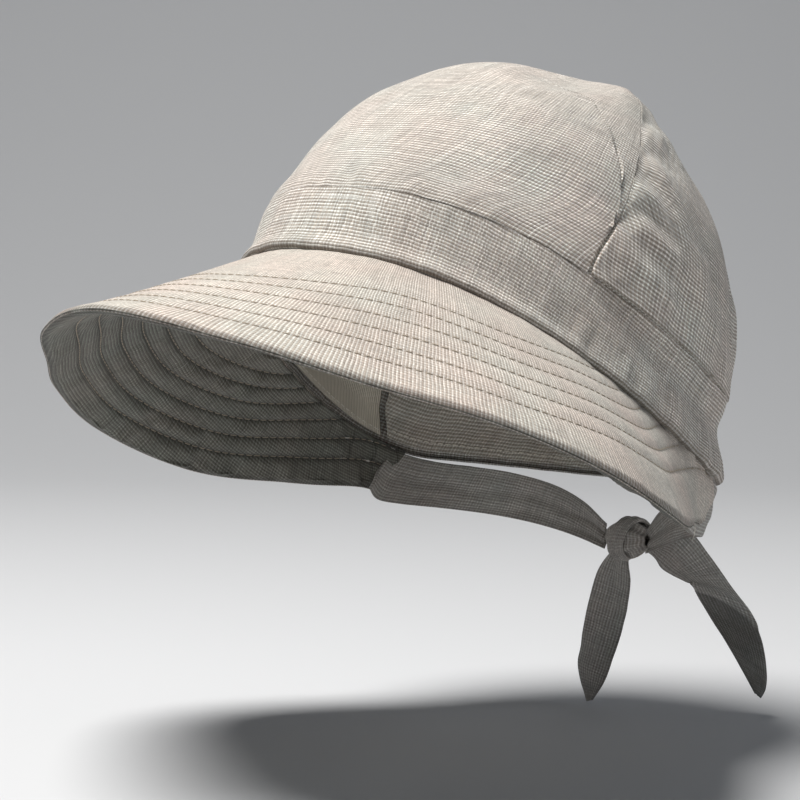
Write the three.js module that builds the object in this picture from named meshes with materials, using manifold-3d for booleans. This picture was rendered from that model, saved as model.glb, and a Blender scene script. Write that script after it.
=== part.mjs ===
// Woven cloth sun hat: a panelled crown on a band, a wide stitched visor brim and a tie at the nape.
// Millimetres, +Z up, front of the hat (the visor) towards -Y, wearer's left towards +X.
// The origin is the centre of the head opening.
import * as THREE from 'three';
import { mergeVertices } from 'three/addons/utils/BufferGeometryUtils.js';
import Module from 'manifold-3d';

const wasm = await Module();
wasm.setup();

// ---------------------------------------------------------------- driving dimensions
const RAD = Math.PI / 180;

// Lower edge of the crown (where band and brim are sewn), every 15 degrees from the front (0) to the back (180)
const SEAM_X = [0, 20.4, 39.9, 57.5, 72.0, 82.3, 87.5, 86.7, 78.4, 63.8, 45.4, 23.6, 0];
const SEAM_Y = [-99.9, -96.5, -86.5, -70.7, -50.0, -25.9, 0, 25.9, 49.2, 68.0, 82.6, 91.8, 94.9];
const SEAM_Z = [60.4, 59.0, 54.3, 45.4, 32.2, 15.8, -1.7, -18.0, -28.5, -31.9, -34.1, -35.6, -36.1];

// Top of the crown band: rise above the lower edge and inward lean, as 1, cos(a), cos(2a) terms
const BAND_RISE = [29.8, -2.5, -5.1];
const BAND_LEAN = [0.011, 0.117, 0.015];

// Three rings of the crown above the band: half width, egg term, centre Y, half length, Z and its cos(a), cos(2a) terms
const RINGS = [
  [86.1, -0.14, 13.7, 87.0, 64.2, 30.2, -0.4],
  [74.0, -0.04, 17.3, 70.8, 93.8, 13.2, -0.2],
  [47.7, -0.005, 16.7, 43.4, 120.4, 2.4, -1.7],
];
const APEX = [11.3, 131.7];              // Y and Z of the crown's top
const BAND_LEVEL = 0.2;                 // where the band ends on the 0..1 way from lower edge to top

const CLOTH = 1.0;                      // one layer of cloth with its seam allowance
const GAP = 0.3;                        // clearance between touching pieces

// Seam between front and back crown panels, seen from the side: Y at each Z
const SPLIT = [[-110, -70], [-60, 10], [-42, 36], [-31, 46], [-23.5, 56.7], [-11.2, 74.6], [2, 91.4], [19, 108.2], [28, 115.5], [38, 121], [50, 127], [58, 131], [75, 140]];
const TAPE_HALF = 6;                    // half width of the tape inside that seam

// Brim: width, droop at the crown and droop at the edge, every 15 degrees from the front
const BRIM_W = [99.9, 93.6, 86.1, 85.0, 82.7, 67.9, 43.2, 25.6, 22.0, 20.0];
const BRIM_P = [17.3, 18.3, 20.4, 23.2, 28.8, 39.6, 57.7, 85.3, 92.2, 92.2];
const BRIM_Q = [8.7, 19.7, 35.4, 38.9, 42.9, 57.0, 77.9, 101.3, 105.9, 105.9];
const BRIM_END_SEAM = 118.5;            // how far round the brim runs at the crown, degrees
const BRIM_END_EDGE = 108.8;            // and at its outer edge
const BRIM_SKIN = 0.7;                  // one cloth layer of the brim
const BRIM_CORE = 0.8;                  // stiffening interlining

const SWEAT_END = 111;                  // sweatband runs this far to each side of the front, degrees
const ELASTIC_FROM = 113.5;             // the nape elastic and its casing start here

// Tie tail on the wearer's left: lower and upper edge, from the knot to the tip (the fifth pair is its fold)
const TAIL_L_LOW = [[7.5, 108.0, -70.0], [10.5, 109.5, -74.8], [14.6, 112, -77.8], [18.7, 115, -80.2], [22.0, 117, -81.8], [23.0, 123, -89.9], [27.8, 126, -99.1], [34.6, 126, -107.6], [42.6, 125, -117.1], [49.0, 124, -124.6]];
const TAIL_L_UP = [[10.5, 107.5, -58.0], [19.5, 115.0, -57.8], [26.8, 122, -69.4], [35.5, 126, -82.1], [44.5, 128, -92.7], [46.7, 131, -100.4], [49.4, 131, -108.5], [51.9, 129, -116.4], [52.9, 127, -122.8], [52.1, 124.6, -126.7]];
// Tie tail on the wearer's right, hanging down
const TAIL_R_IN = [[-4, 106, -72.5], [-3.5, 107.5, -82], [-5, 108, -92], [-8, 107.5, -103], [-11, 106, -114], [-14.5, 104.5, -125], [-20, 103.5, -134.5]];
const TAIL_R_OUT = [[-11.5, 105.5, -68.5], [-20, 107, -77], [-25.5, 108.5, -88], [-28.5, 108.5, -99.5], [-30, 107.5, -111], [-30, 106, -122], [-23, 104, -135.5]];
const TIE_THICK = 1.2;                  // the tie is a flat tube of cloth, two layers

// Strap from the rear end of the brim round the nape to the knot: upper and lower edge, wearer's left
const STRAP_UP = [[79.3, 48.8, -29.8], [72.5, 59.5, -33.0], [62.0, 70.5, -34.8], [48.5, 81.5, -37.2], [33.5, 90.5, -41.5], [20.5, 96.5, -48.5], [10.8, 99.8, -57.2]];
const STRAP_LOW = [[80.9, 32.8, -47.8], [76.0, 46.0, -50.5], [66.5, 60.5, -52.5], [53.0, 74.5, -55.0], [37.5, 86.0, -58.5], [23.0, 94.0, -63.0], [10.8, 98.8, -67.8]];

const KNOT = [0, 100.5, -62.5];         // centre of the knot
const KNOT_R = [10.0, 7.5, 8.5];

// ---------------------------------------------------------------- helpers
const wrap = (a) => ((((a + 180) % 360) + 360) % 360) - 180;

// Catmull-Rom through a table at every 15 degrees, mirrored about front and back
function table(tab, deg, odd = false) {
  const a = Math.abs(deg) / 15;
  const i = Math.min(Math.floor(a), tab.length - 2);
  const t = a - i;
  const n = tab.length - 1;
  const v = (k) => {
    let s = 1;
    if (k < 0) { k = -k; if (odd) s = -s; }
    if (k > n) { if (n === 12) { k = 2 * n - k; if (odd) s = -s; } else return 2 * tab[n] - tab[n - 1]; }
    return s * tab[k];
  };
  const p0 = v(i - 1), p1 = v(i), p2 = v(i + 1), p3 = v(i + 2);
  const r = 0.5 * (2 * p1 + (p2 - p0) * t + (2 * p0 - 5 * p1 + 4 * p2 - p3) * t * t + (-p0 + 3 * p1 - 3 * p2 + p3) * t * t * t);
  return odd && deg < 0 ? -r : r;
}

const seam = (deg) => new THREE.Vector3(table(SEAM_X, deg, true), table(SEAM_Y, deg), table(SEAM_Z, deg));

// Outside face of the crown: deg round from the front, s from 0 at the lower edge to 1 at the top
function crown(deg0, s) {
  const deg = wrap(deg0);
  const C = Math.cos(deg * RAD), S = Math.sin(deg * RAD), C2 = Math.cos(2 * deg * RAD);
  const L0 = seam(deg);
  const lean = 1 - (BAND_LEAN[0] + BAND_LEAN[1] * C + BAND_LEAN[2] * C2);
  const L1 = new THREE.Vector3(L0.x * lean, L0.y * lean, L0.z + BAND_RISE[0] + BAND_RISE[1] * C + BAND_RISE[2] * C2);
  const ring = ([a, e, yc, b, z, t, u], c, sn) => new THREE.Vector3(a * sn * (1 + e * c), yc - b * c, z + t * c + u * C2);
  const L = [L0.clone().multiplyScalar(2).sub(L1), L0, L1, ...RINGS.map((r) => ring(r, C, S)),
    new THREE.Vector3(0, APEX[0], APEX[1]), ring(RINGS[2], -C, -S)];
  const x = s * 5;
  const i = Math.min(Math.max(Math.floor(x), 0), 4);
  const f = x - i;
  const out = new THREE.Vector3();
  for (const k of ['x', 'y', 'z']) {
    const [p0, p1, p2, p3] = [L[i][k], L[i + 1][k], L[i + 2][k], L[i + 3][k]];
    out[k] = 0.5 * (2 * p1 + (p2 - p0) * f + (2 * p0 - 5 * p1 + 4 * p2 - p3) * f * f + (-p0 + 3 * p1 - 3 * p2 + p3) * f * f * f);
  }
  return out;
}

function crownNormal(deg, s) {
  const sc = Math.min(s, 0.985);
  const da = crown(deg + 1, sc).sub(crown(deg - 1, sc));
  const ds = crown(deg, sc + 0.01).sub(crown(deg, sc - 0.01));
  return da.cross(ds).normalize();
}

// Middle of the brim's thickness: deg round from the front, t from 0 at the crown to 1 at the outer edge
function brim(deg, t) {
  const w = table(BRIM_W, deg), p = table(BRIM_P, deg) * RAD, q = table(BRIM_Q, deg) * RAD;
  let r = 0, dz = 0;
  for (let k = 0; k < 12; k++) {
    const ph = p + (q - p) * t * (k + 0.5) / 12;
    r += Math.cos(ph) / 12; dz -= Math.sin(ph) / 12;
  }
  const b = seam(deg);
  const d = seam(deg + 0.5).sub(seam(deg - 0.5));
  const n = new THREE.Vector3(d.y, -d.x, 0).normalize();
  return new THREE.Vector3(b.x + n.x * w * t * r, b.y + n.y * w * t * r, b.z + w * t * dz - 0.4 * (1 - t));
}

function brimNormal(deg, t) {
  const tc = Math.min(Math.max(t, 0.02), 0.98);
  const da = brim(deg + 0.5, tc).sub(brim(deg - 0.5, tc));
  const dt = brim(deg, tc + 0.01).sub(brim(deg, tc - 0.01));
  return dt.cross(da).normalize();
}

// A closed sheet between two offset copies of a grid. outer and inner are [row][column] arrays of points.
function slab(outer, inner, closedRow = false) {
  const nr = outer.length, nc = outer[0].length;
  const pos = [];
  for (const g of [outer, inner]) for (const row of g) for (const p of row) pos.push(p.x, p.y, p.z);
  const idx = [];
  const o = (r, c) => r * nc + (c % nc);
  const n = (r, c) => nr * nc + r * nc + (c % nc);
  const cols = closedRow ? nc : nc - 1;
  for (let r = 0; r < nr - 1; r++) {
    for (let c = 0; c < cols; c++) {
      idx.push(o(r, c), o(r, c + 1), o(r + 1, c + 1), o(r, c), o(r + 1, c + 1), o(r + 1, c));
      idx.push(n(r, c), n(r + 1, c + 1), n(r, c + 1), n(r, c), n(r + 1, c), n(r + 1, c + 1));
    }
  }
  for (let c = 0; c < cols; c++) {
    idx.push(o(0, c), n(0, c), n(0, c + 1), o(0, c), n(0, c + 1), o(0, c + 1));
    idx.push(o(nr - 1, c), n(nr - 1, c + 1), n(nr - 1, c), o(nr - 1, c), o(nr - 1, c + 1), n(nr - 1, c + 1));
  }
  if (!closedRow) {
    for (let r = 0; r < nr - 1; r++) {
      idx.push(o(r, 0), n(r + 1, 0), n(r, 0), o(r, 0), o(r + 1, 0), n(r + 1, 0));
      idx.push(o(r, nc - 1), n(r, nc - 1), n(r + 1, nc - 1), o(r, nc - 1), n(r + 1, nc - 1), o(r + 1, nc - 1));
    }
  }
  const g = new THREE.BufferGeometry();
  g.setAttribute('position', new THREE.Float32BufferAttribute(pos, 3));
  g.setIndex(idx);
  return g;
}

const range = (a, b, n) => Array.from({ length: n + 1 }, (_, i) => a + (b - a) * i / n);

// A strip of cloth that follows the crown, between two angles and two levels, from offset top to offset bottom
function crownStrip(a0, a1, na, s0, s1, ns, top, bottom) {
  const rows = range(s0, s1, ns), cols = range(a0, a1, na);
  const at = (off) => rows.map((s) => cols.map((a) => crown(a, s).addScaledVector(crownNormal(a, s), off)));
  return slab(at(top), at(bottom));
}

// A layer of the brim between two offsets from its middle
function brimLayer(top, bottom, t0, t1, nt, na, shrink = 0) {
  const rows = range(t0, t1, nt), cols = range(-1, 1, na);
  const at = (off) => rows.map((t) => cols.map((v) => {
    const deg = v * (BRIM_END_SEAM + (BRIM_END_EDGE - BRIM_END_SEAM) * t - shrink);
    const mid = -1.4 + 2.8 * t;
    return brim(deg, t).addScaledVector(brimNormal(deg, t), mid + off);
  }));
  return slab(at(bottom), at(top));
}

// A flat strip between a low and an up edge, thick along its own normal
function ribbon(low, up, thick, across = 2) {
  const n = low.length;
  const V = (p) => new THREE.Vector3(...p);
  const grid = (side) => range(0, 1, across).map((v) => low.map((_, i) => {
    const a = V(low[i]), b = V(up[i]);
    const j0 = Math.max(i - 1, 0), j1 = Math.min(i + 1, n - 1);
    const along = V(low[j1]).add(V(up[j1])).sub(V(low[j0])).sub(V(up[j0]));
    const nrm = along.cross(b.clone().sub(a)).normalize();
    return a.lerp(b, v).addScaledVector(nrm, side * thick / 2);
  }));
  return slab(grid(1), grid(-1));
}

function toManifold(geometry) {
  const g = geometry.clone();
  g.deleteAttribute('normal'); g.deleteAttribute('uv');
  const m = mergeVertices(g, 1e-4);
  const mesh = new wasm.Mesh({ numProp: 3, vertProperties: new Float32Array(m.attributes.position.array), triVerts: new Uint32Array(m.index.array) });
  mesh.merge();
  return new wasm.Manifold(mesh);
}

function fromManifold(man) {
  const m = man.getMesh();
  const pos = new Float32Array(m.vertProperties.length / m.numProp * 3);
  for (let i = 0, k = 0; i < m.vertProperties.length; i += m.numProp, k += 3) {
    pos[k] = m.vertProperties[i]; pos[k + 1] = m.vertProperties[i + 1]; pos[k + 2] = m.vertProperties[i + 2];
  }
  const g = new THREE.BufferGeometry();
  g.setAttribute('position', new THREE.Float32BufferAttribute(pos, 3));
  g.setIndex(Array.from(m.triVerts));
  return g;
}

// The whole upper crown as one shell with its mouth at the band
function cap(top, bottom, s0, na, ns) {
  const rows = range(s0, 1, ns).slice(0, -1);
  const pos = [], idx = [];
  const layer = (off) => {
    for (const s of rows) for (let c = 0; c < na; c++) {
      const a = -180 + 360 * c / na;
      const p = crown(a, s).addScaledVector(crownNormal(a, s), off);
      pos.push(p.x, p.y, p.z);
    }
    const nrm = new THREE.Vector3();
    for (let c = 0; c < 24; c++) nrm.add(crownNormal(15 * c, 0.97));
    const p = new THREE.Vector3(0, APEX[0], APEX[1]).addScaledVector(nrm.normalize(), off);
    pos.push(p.x, p.y, p.z);
  };
  layer(top); layer(bottom);
  const nr = rows.length, base = nr * na + 1;
  const at = (l, r, c) => l * base + r * na + ((c + na) % na);
  for (let c = 0; c < na; c++) {
    for (let r = 0; r < nr - 1; r++) {
      idx.push(at(0, r, c), at(0, r, c + 1), at(0, r + 1, c + 1), at(0, r, c), at(0, r + 1, c + 1), at(0, r + 1, c));
      idx.push(at(1, r, c), at(1, r + 1, c + 1), at(1, r, c + 1), at(1, r, c), at(1, r + 1, c), at(1, r + 1, c + 1));
    }
    idx.push(at(0, nr - 1, c), at(0, nr - 1, c + 1), base - 1);
    idx.push(at(1, nr - 1, c + 1), at(1, nr - 1, c), 2 * base - 1);
    idx.push(at(0, 0, c), at(1, 0, c), at(1, 0, c + 1), at(0, 0, c), at(1, 0, c + 1), at(0, 0, c + 1));
  }
  const g = new THREE.BufferGeometry();
  g.setAttribute('position', new THREE.Float32BufferAttribute(pos, 3));
  g.setIndex(idx);
  return g;
}

// A block that fills the space between two side-view curves (Y at each Z), right across the hat
function sideBlock(yFrom, yTo) {
  const shape = new THREE.Shape();
  const pts = [...SPLIT.map(([y, z]) => [yFrom(y), z]), ...SPLIT.slice().reverse().map(([y, z]) => [yTo(y), z])];
  pts.forEach(([y, z], i) => (i ? shape.lineTo(y, z) : shape.moveTo(y, z)));
  shape.closePath();
  const g = new THREE.ExtrudeGeometry(shape, { depth: 260, bevelEnabled: false });
  // shape x -> Y, shape y -> Z, depth -> X
  g.applyMatrix4(new THREE.Matrix4().set(0, 0, 1, -130, 1, 0, 0, 0, 0, 1, 0, 0, 0, 0, 0, 1));
  return g;
}

// ---------------------------------------------------------------- the hat
const hat = new THREE.Group();
const cloth = { color: 0xcfc8bc, roughness: 0.92, metalness: 0 };
function add(name, geometry, look = cloth) {
  geometry.computeVertexNormals();
  const mesh = new THREE.Mesh(geometry, new THREE.MeshStandardMaterial({ ...look, flatShading: true }));
  mesh.name = name;
  hat.add(mesh);
}

// Crown panels, cut from one shell along the cross seam
const shell = toManifold(cap(0, -CLOTH, BAND_LEVEL + 0.004, 48, 10));
const front = shell.intersect(toManifold(sideBlock(() => -200, (y) => y - GAP / 2)));
const back = shell.intersect(toManifold(sideBlock((y) => y + GAP / 2, () => 200)));
add('crown_front_panel', fromManifold(front));
add('crown_back_panel', fromManifold(back));

// Tape that covers the cross seam inside the crown
const liner = toManifold(cap(-CLOTH - 0.4, -CLOTH - 1.0, BAND_LEVEL + 0.02, 48, 10));
const tape = liner.intersect(toManifold(sideBlock((y) => y - TAPE_HALF * 1.1, (y) => y + TAPE_HALF * 1.1)));
add('crown_seam_tape', fromManifold(tape), { color: 0xd9d3c8, roughness: 0.9, metalness: 0 });

// Band round the lower part of the crown, its two ends meeting at the centre back
add('crown_band', crownStrip(-179.9, 179.9, 64, 0, BAND_LEVEL - 0.004, 3, 0, -CLOTH));

// Sweatband inside the front and sides, elastic and its casing at the nape
add('sweatband', crownStrip(-SWEAT_END, SWEAT_END, 40, 0.01, 0.19, 2, -CLOTH - 0.5, -CLOTH - 1.3), { color: 0xe6e1d6, roughness: 0.85, metalness: 0 });
add('nape_elastic', crownStrip(ELASTIC_FROM, 360 - ELASTIC_FROM, 24, 0.06, 0.15, 1, -CLOTH - 0.6, -CLOTH - 1.5), { color: 0xf0eee8, roughness: 0.8, metalness: 0 });
add('nape_casing', crownStrip(ELASTIC_FROM, 360 - ELASTIC_FROM, 24, 0.012, 0.19, 2, -CLOTH - 2.1, -CLOTH - 2.8), cloth);

// Brim: two cloth layers with a stiffening interlining between them
add('brim_top_layer', brimLayer(1.4, 0.7, 0, 1, 6, 46));
add('brim_interlining', brimLayer(0.4, -0.4, 0.002, 0.99, 6, 46, 0.3), { color: 0xf2f0ea, roughness: 0.9, metalness: 0 });
add('brim_under_layer', brimLayer(-0.7, -1.4, 0, 1, 6, 46));

// Tie: two straps from the ends of the brim to the knot, the knot, and its two tails
const mirrorX = (list) => list.map(([x, y, z]) => [-x, y, z]);
add('tie_strap_left', ribbon(STRAP_LOW, STRAP_UP, TIE_THICK, 2));
add('tie_strap_right', ribbon(mirrorX(STRAP_UP), mirrorX(STRAP_LOW), TIE_THICK, 2));

const knot = new THREE.SphereGeometry(1, 18, 12);
{
  const p = knot.attributes.position;
  for (let i = 0; i < p.count; i++) {
    const v = new THREE.Vector3().fromBufferAttribute(p, i);
    const k = 1 + 0.08 * Math.sin(3 * Math.atan2(v.z, v.x)) * (1 - v.y * v.y);
    p.setXYZ(i, v.x * KNOT_R[0] * k + KNOT[0], v.y * KNOT_R[1] + KNOT[1], v.z * KNOT_R[2] * k + KNOT[2]);
  }
}
add('tie_knot', knot);
add('tie_tail_left', ribbon(TAIL_L_LOW, TAIL_L_UP, TIE_THICK, 3));
add('tie_tail_right', ribbon(TAIL_R_IN, TAIL_R_OUT, TIE_THICK, 3));

export default hat;
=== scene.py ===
# Looks of the woven cloth sun hat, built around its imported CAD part. Lengths below are millimetres until put() scales them.
import math
import bpy
import numpy as np
from mathutils import Matrix, Vector


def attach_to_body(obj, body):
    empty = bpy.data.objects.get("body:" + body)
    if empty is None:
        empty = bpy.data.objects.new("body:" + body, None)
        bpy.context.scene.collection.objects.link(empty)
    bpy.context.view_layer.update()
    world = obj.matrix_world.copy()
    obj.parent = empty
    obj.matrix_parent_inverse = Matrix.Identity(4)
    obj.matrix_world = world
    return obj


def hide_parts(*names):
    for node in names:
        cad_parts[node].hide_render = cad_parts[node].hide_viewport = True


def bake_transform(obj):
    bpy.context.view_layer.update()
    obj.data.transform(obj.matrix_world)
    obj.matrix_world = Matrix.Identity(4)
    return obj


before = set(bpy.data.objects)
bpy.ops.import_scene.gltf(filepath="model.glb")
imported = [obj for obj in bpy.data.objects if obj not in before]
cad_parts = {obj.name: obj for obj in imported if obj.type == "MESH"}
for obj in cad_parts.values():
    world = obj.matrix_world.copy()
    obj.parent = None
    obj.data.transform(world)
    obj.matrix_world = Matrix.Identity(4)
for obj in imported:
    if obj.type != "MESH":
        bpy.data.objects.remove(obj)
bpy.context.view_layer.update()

# ---------------------------------------------------------------- camera
cam_data = bpy.data.cameras.new("camera")
cam = bpy.data.objects.new("camera", cam_data)
bpy.context.scene.collection.objects.link(cam)
bpy.context.scene.camera = cam
RIGHT, UP, BACK = (0.74245, 0.66982, 0.01058), (-0.0559, 0.0462, 0.99737), (0.66757, -0.74109, 0.07174)
cam.matrix_world = Matrix([[RIGHT[i], UP[i], BACK[i], p] for i, p in enumerate((0.64656, -0.76188, 0.07203))] + [[0, 0, 0, 1]])
cam_data.sensor_width = 36
cam_data.lens = 115.4
cam_data.clip_start, cam_data.clip_end = 0.01, 50

# ---------------------------------------------------------------- the hat's surfaces
SEAM_X = np.array([0, 20.4, 39.9, 57.5, 72.0, 82.3, 87.5, 86.7, 78.4, 63.8, 45.4, 23.6, 0])
SEAM_Y = np.array([-99.9, -96.5, -86.5, -70.7, -50.0, -25.9, 0, 25.9, 49.2, 68.0, 82.6, 91.8, 94.9])
SEAM_Z = np.array([60.4, 59.0, 54.3, 45.4, 32.2, 15.8, -1.7, -18.0, -28.5, -31.9, -34.1, -35.6, -36.1])
BAND_RISE = (29.8, -2.5, -5.1)
BAND_LEAN = (0.011, 0.117, 0.015)
RINGS = ((86.1, -0.14, 13.7, 87.0, 64.2, 30.2, -0.4),
         (74.0, -0.04, 17.3, 70.8, 93.8, 13.2, -0.2),
         (47.7, -0.005, 16.7, 43.4, 120.4, 2.4, -1.7))
APEX = (11.3, 131.7)
SPLIT = np.array([[-110, -70], [-60, 10], [-42, 36], [-31, 46], [-23.5, 56.7], [-11.2, 74.6], [2, 91.4], [19, 108.2],
                  [28, 115.5], [38, 121], [50, 127], [58, 131], [75, 140]], float)
BRIM_W = np.array([99.9, 93.6, 86.1, 85.0, 82.7, 67.9, 43.2, 25.6, 22.0, 20.0])
BRIM_P = np.array([17.3, 18.3, 20.4, 23.2, 28.8, 39.6, 57.7, 85.3, 92.2, 92.2])
BRIM_Q = np.array([8.7, 19.7, 35.4, 38.9, 42.9, 57.0, 77.9, 101.3, 105.9, 105.9])
END_SEAM, END_EDGE = 118.5, 108.8


def crom(p0, p1, p2, p3, t):
    return 0.5 * (2 * p1 + (p2 - p0) * t + (2 * p0 - 5 * p1 + 4 * p2 - p3) * t * t + (-p0 + 3 * p1 - 3 * p2 + p3) * t ** 3)


def tab(table, deg, odd=False):
    """Smooth reading of a table given every 15 degrees, mirrored about front and back."""
    table = np.asarray(table, float)
    deg = np.asarray(deg, float)
    n = len(table) - 1
    a = np.abs(deg) / 15
    i = np.clip(np.floor(a).astype(int), 0, n - 1)
    t = a - i

    def v(k):
        s = np.where((k < 0) & odd, -1.0, 1.0)
        k = np.abs(k)
        if n == 12:
            over = k > n
            s = np.where(over & odd, -s, s)
            return s * table[np.where(over, 2 * n - k, k)]
        return s * np.where(k > n, 2 * table[n] - table[n - 1], table[np.minimum(k, n)])

    r = crom(v(i - 1), v(i), v(i + 1), v(i + 2), t)
    return np.where(deg < 0, -r, r) if odd else r


def seam(deg):
    return np.stack([tab(SEAM_X, deg, True), tab(SEAM_Y, deg), tab(SEAM_Z, deg)], -1)


def crown(deg, s):
    deg = (np.asarray(deg, float) + 180) % 360 - 180
    deg, s = np.broadcast_arrays(deg, np.asarray(s, float))
    C, S, C2 = np.cos(np.radians(deg)), np.sin(np.radians(deg)), np.cos(2 * np.radians(deg))
    L0 = seam(deg)
    lean = 1 - (BAND_LEAN[0] + BAND_LEAN[1] * C + BAND_LEAN[2] * C2)
    rise = BAND_RISE[0] + BAND_RISE[1] * C + BAND_RISE[2] * C2
    L1 = np.stack([L0[..., 0] * lean, L0[..., 1] * lean, L0[..., 2] + rise], -1)

    def ring(r, c, sn):
        a, e, yc, b, z, t, u = r
        return np.stack([a * sn * (1 + e * c), yc - b * c, z + t * c + u * C2], -1)

    apex = np.broadcast_to(np.array([0, APEX[0], APEX[1]]), L0.shape)
    L = np.stack([2 * L0 - L1, L0, L1, *[ring(r, C, S) for r in RINGS], apex, ring(RINGS[2], -C, -S)], 0)
    x = s * 5
    i = np.clip(np.floor(x).astype(int), 0, 4)
    f = (x - i)[..., None]
    pick = lambda k: np.take_along_axis(L, (i + k)[None, ..., None].repeat(3, -1), 0)[0]
    return crom(pick(0), pick(1), pick(2), pick(3), f)


def unit(v):
    return v / np.maximum(np.linalg.norm(v, axis=-1, keepdims=True), 1e-9)


def crown_normal(deg, s):
    sc = np.minimum(s, 0.985)
    return unit(np.cross(crown(deg + 1, sc) - crown(deg - 1, sc), crown(deg, sc + 0.01) - crown(deg, sc - 0.01)))


def brim(deg, t):
    deg, t = np.broadcast_arrays(np.asarray(deg, float), np.asarray(t, float))
    w, p, q = tab(BRIM_W, deg), np.radians(tab(BRIM_P, deg)), np.radians(tab(BRIM_Q, deg))
    r = sum(np.cos(p + (q - p) * t * (k + 0.5) / 12) for k in range(12)) / 12
    dz = -sum(np.sin(p + (q - p) * t * (k + 0.5) / 12) for k in range(12)) / 12
    b = seam(deg)
    d = seam(deg + 0.5) - seam(deg - 0.5)
    n = unit(np.stack([d[..., 1], -d[..., 0], 0 * d[..., 0]], -1))
    out = b + n * (w * t * r)[..., None]
    out[..., 2] += w * t * dz - 0.4 * (1 - t)
    return out


def brim_normal(deg, t):
    tc = np.clip(t, 0.02, 0.98)
    return unit(np.cross(brim(deg, tc + 0.01) - brim(deg, tc - 0.01), brim(deg + 0.5, tc) - brim(deg - 0.5, tc)))


def rand_at(i, j, seed):
    """A fixed value in 0..1 for every pair of whole numbers."""
    h = (i.astype(np.int64) * 374761393 + j.astype(np.int64) * 668265263 + seed * 974634777) & 0xFFFFFFFF
    h = ((h ^ (h >> 13)) * 1274126177) & 0xFFFFFFFF
    h = ((h ^ (h >> 16)) * 2246822519) & 0xFFFFFFFF
    return ((h ^ (h >> 15)) & 0xFFFFFF) / float(0xFFFFFF)


def noise(x, y=0.0, seed=0):
    """Smooth noise in -1..1."""
    x, y = np.broadcast_arrays(np.asarray(x, float), np.asarray(y, float))
    i, j = np.floor(x), np.floor(y)
    fx, fy = x - i, y - j
    fx, fy = fx * fx * (3 - 2 * fx), fy * fy * (3 - 2 * fy)
    a, b = rand_at(i, j, seed), rand_at(i + 1, j, seed)
    c, d = rand_at(i, j + 1, seed), rand_at(i + 1, j + 1, seed)
    return ((a * (1 - fx) + b * fx) * (1 - fy) + (c * (1 - fx) + d * fx) * fy) * 2 - 1


def smooth(a, b, x):
    t = np.clip((np.asarray(x, float) - a) / (b - a), 0, 1)
    return t * t * (3 - 2 * t)


def grid_normals(P, like, closed=False):
    if closed:
        dc = np.roll(P, -1, 1) - np.roll(P, 1, 1)
    else:
        dc = np.gradient(P, axis=1)
    dr = np.gradient(P, axis=0)
    n = unit(np.cross(dc, dr))
    flip = np.sign((n * like).sum(-1, keepdims=True))
    return n * np.where(flip == 0, 1, flip)


def arc(P, axis):
    """Running length along a grid's rows (axis 0) or columns (axis 1)."""
    d = np.linalg.norm(np.diff(P, axis=axis), axis=-1)
    z = np.zeros_like(P[..., 0])
    if axis == 0:
        z[1:] = np.cumsum(d, 0)
    else:
        z[:, 1:] = np.cumsum(d, 1)
    return z


def nearest(P, line):
    """Distance from each point to a line of points, and how far along that line the nearest one is."""
    along = np.concatenate([[0], np.cumsum(np.linalg.norm(np.diff(line, axis=0), axis=-1))])
    flat = P.reshape(-1, 3)
    d, a = np.empty(len(flat)), np.empty(len(flat))
    for k in range(0, len(flat), 20000):
        q = ((flat[k:k + 20000, None] - line[None]) ** 2).sum(-1)
        i = q.argmin(1)
        d[k:k + 20000], a[k:k + 20000] = np.sqrt(q[np.arange(len(i)), i]), along[i]
    return d.reshape(P.shape[:-1]), a.reshape(P.shape[:-1])


def put(name, verts, faces, uv, mat, shade=None):
    """A mesh piece from points in millimetres. uv is the weave's own place on the cloth, in millimetres, one pair for each point."""
    me = bpy.data.meshes.new(name)
    me.from_pydata((np.asarray(verts) * 0.001).tolist(), [], [list(map(int, f)) for f in faces])
    layer = me.uv_layers.new(name="weave")
    loops = np.empty(len(me.loops), np.int32)
    me.loops.foreach_get("vertex_index", loops)
    layer.data.foreach_set("uv", np.asarray(uv, np.float32)[loops].ravel())
    # the shade attribute holds painted shade, which the cloth materials multiply into their colour
    tone = me.attributes.new("shade", "FLOAT", "POINT")
    tone.data.foreach_set("value", np.asarray(np.ones(len(verts)) if shade is None else shade, np.float32))
    me.polygons.foreach_set("use_smooth", np.ones(len(me.polygons), bool))
    me.materials.append(mat)
    me.update()
    o = bpy.data.objects.new(name, me)
    bpy.context.scene.collection.objects.link(o)
    return o


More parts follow.
